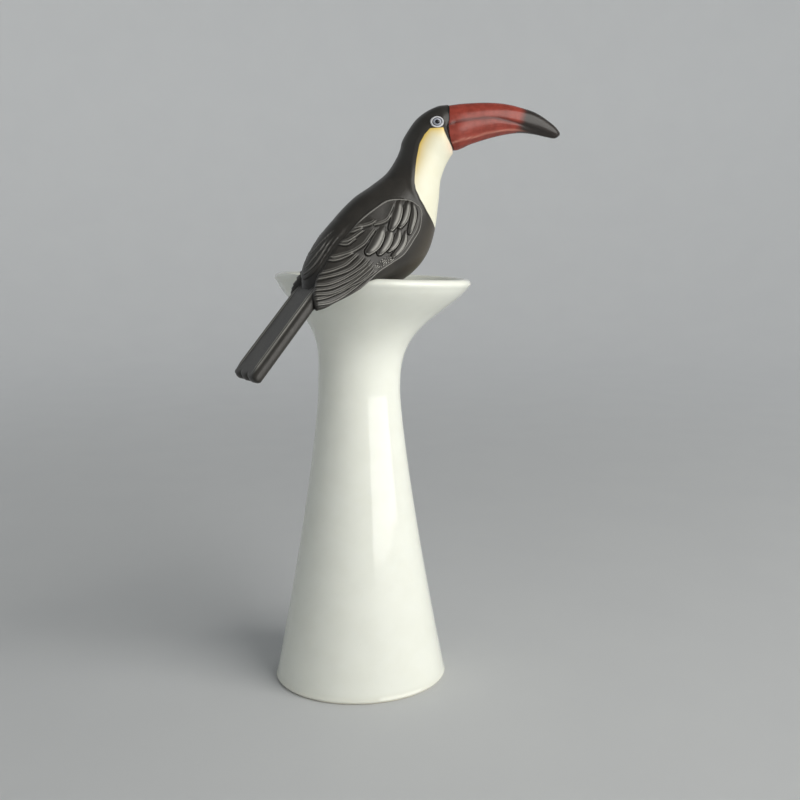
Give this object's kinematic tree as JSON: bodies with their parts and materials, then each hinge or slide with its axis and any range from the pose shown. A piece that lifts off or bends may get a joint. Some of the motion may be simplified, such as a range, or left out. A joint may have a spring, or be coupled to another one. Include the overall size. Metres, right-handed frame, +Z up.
{
  "type": "toucan candle holder",
  "caption": "Tall hollow glazed candle holder with a trumpet mouth and a candle socket, and a painted toucan figure seated on its rim.",
  "frame": {"origin": "middle of the whole outline box, on the surface that the foot stands on", "axes": "+Z up, +X to the side that the beak points to, +Y away from the viewer of the toucan's near flank"},
  "size_m": [0.1292, 0.1048, 0.2493],
  "materials": {
    "cream_glaze": "clear gloss glaze over warm white porcelain",
    "painted_plumage": "satin hand-painted bisque: brown-black plumage, ivory and yellow throat, red and black beak"
  },
  "bodies": {
    "root": {"candlestick": "cream_glaze", "toucan": "painted_plumage"}
  },
  "joints": []
}
